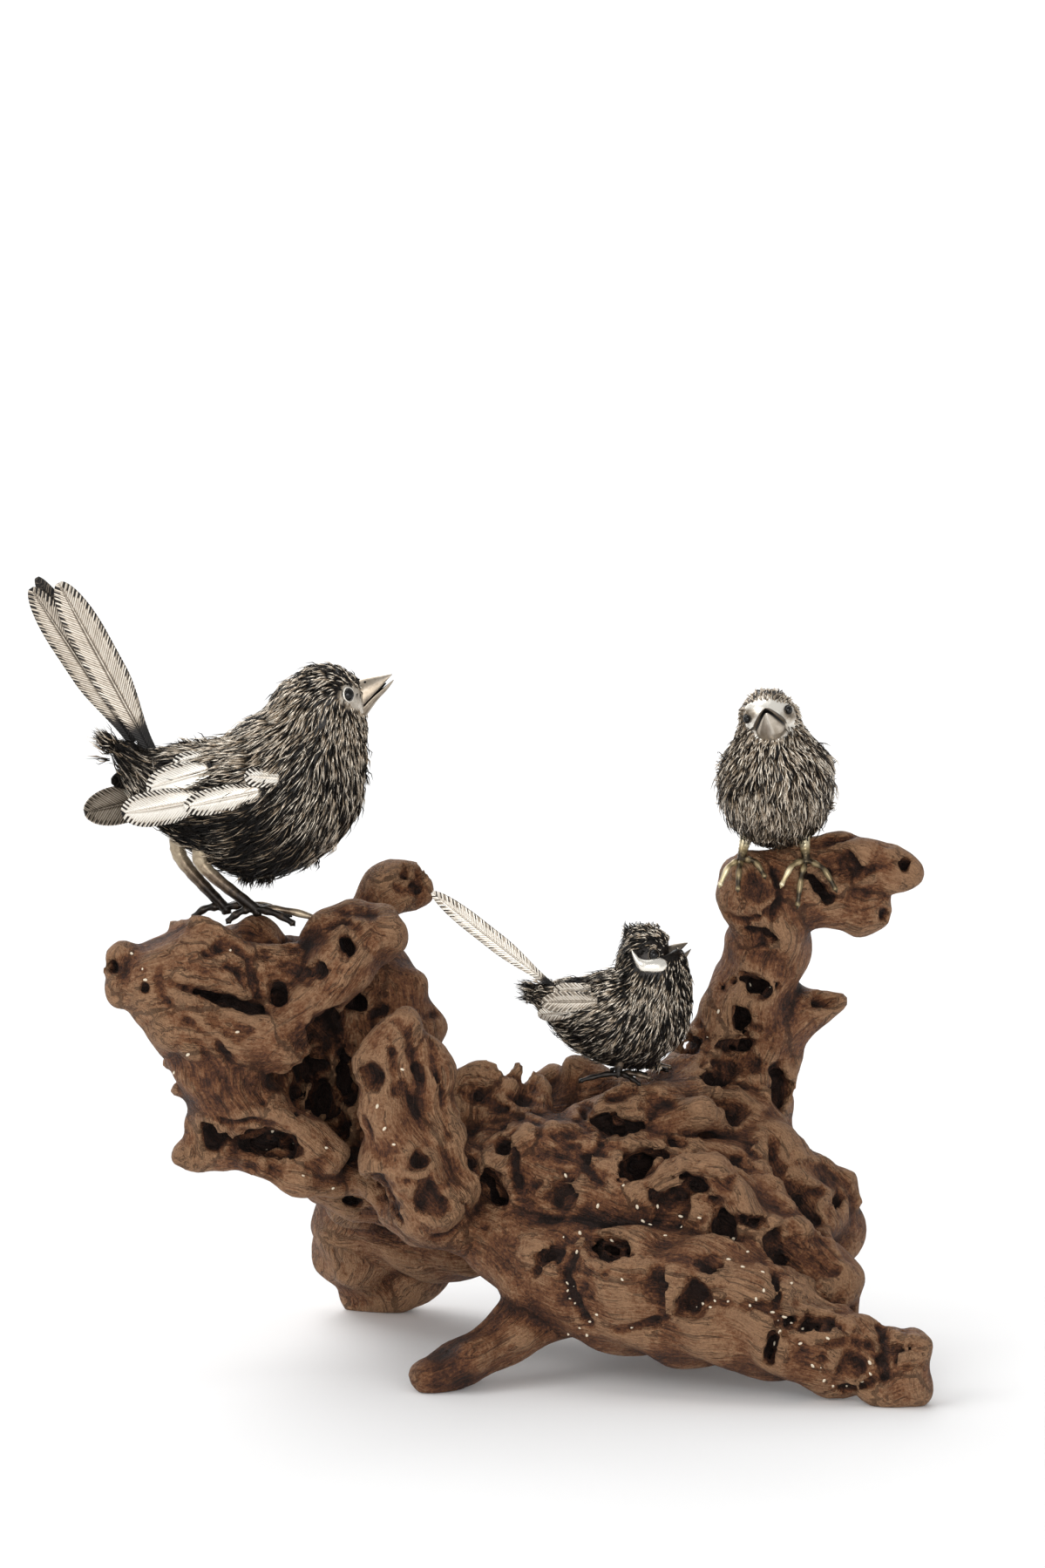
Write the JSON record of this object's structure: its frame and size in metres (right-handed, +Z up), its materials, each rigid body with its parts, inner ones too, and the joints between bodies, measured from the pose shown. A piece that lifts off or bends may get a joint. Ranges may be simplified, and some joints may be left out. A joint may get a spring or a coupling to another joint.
{
  "type": "sparrows on branch sculpture",
  "caption": "Wire-plumed silver birds with chased feather plates perched on a gnarled piece of brown driftwood that stands on its own feet.",
  "frame": {"origin": "middle of the sculpture's box, on the surface that the driftwood stands on", "axes": "+X along the driftwood from the grown bird to the round chick, +Y away from the viewer, +Z up"},
  "size_m": [0.2587, 0.155, 0.227],
  "materials": {
    "driftwood": "weathered brown root, dry, satin on the ridges and matt in the hollows",
    "dark_plume": "silver wire plumage, blackened between the wires and bright on top",
    "pale_plume": "finer curled silver wire plumage, lightly blackened",
    "feather_plate": "chased silver plates, satin, dark in the cut lines and along the edge",
    "silver_beak": "polished silver with dark seams",
    "dark_beak": "blackened silver with bright edges",
    "eye": "black gloss bead",
    "bronze_leg": "dark bronze-toned metal, worn to gold at the toe tips",
    "brass_leg": "pale brass-toned metal with darker joints"
  },
  "bodies": {
    "root": {"crested_chick_beak_lower": "dark_beak", "crested_chick_beak_upper": "dark_beak", "crested_chick_body": "dark_plume", "crested_chick_eye_left": "eye", "crested_chick_eye_right": "eye", "crested_chick_leg_left": "bronze_leg", "crested_chick_leg_right": "bronze_leg", "crested_chick_tail_feather_1": "feather_plate", "crested_chick_wing_feather_left_1": "feather_plate", "crested_chick_wing_feather_left_2": "feather_plate", "crested_chick_wing_feather_left_3": "feather_plate", "crested_chick_wing_feather_right_1": "feather_plate", "crested_chick_wing_feather_right_2": "feather_plate", "crested_chick_wing_feather_right_3": "feather_plate", "driftwood": "driftwood", "grown_bird_beak_lower": "silver_beak", "grown_bird_beak_upper": "silver_beak", "grown_bird_body": "dark_plume", "grown_bird_eye_left": "eye", "grown_bird_eye_right": "eye", "grown_bird_leg_left": "bronze_leg", "grown_bird_leg_right": "bronze_leg", "grown_bird_tail_feather_1": "feather_plate", "grown_bird_tail_feather_2": "feather_plate", "grown_bird_tail_feather_3": "feather_plate", "grown_bird_wing_feather_left_1": "feather_plate", "grown_bird_wing_feather_left_2": "feather_plate", "grown_bird_wing_feather_left_3": "feather_plate", "grown_bird_wing_feather_left_4": "feather_plate", "grown_bird_wing_feather_left_5": "feather_plate", "grown_bird_wing_feather_right_1": "feather_plate", "grown_bird_wing_feather_right_2": "feather_plate", "grown_bird_wing_feather_right_3": "feather_plate", "grown_bird_wing_feather_right_4": "feather_plate", "grown_bird_wing_feather_right_5": "feather_plate", "round_chick_beak_lower": "silver_beak", "round_chick_beak_upper": "silver_beak", "round_chick_body": "pale_plume", "round_chick_eye_left": "eye", "round_chick_eye_right": "eye", "round_chick_leg_left": "brass_leg", "round_chick_leg_right": "brass_leg", "round_chick_tail_feather_1": "feather_plate", "round_chick_tail_feather_2": "feather_plate", "round_chick_wing_feather_left_1": "feather_plate", "round_chick_wing_feather_left_2": "feather_plate", "round_chick_wing_feather_left_3": "feather_plate", "round_chick_wing_feather_right_1": "feather_plate", "round_chick_wing_feather_right_2": "feather_plate", "round_chick_wing_feather_right_3": "feather_plate"}
  },
  "joints": []
}
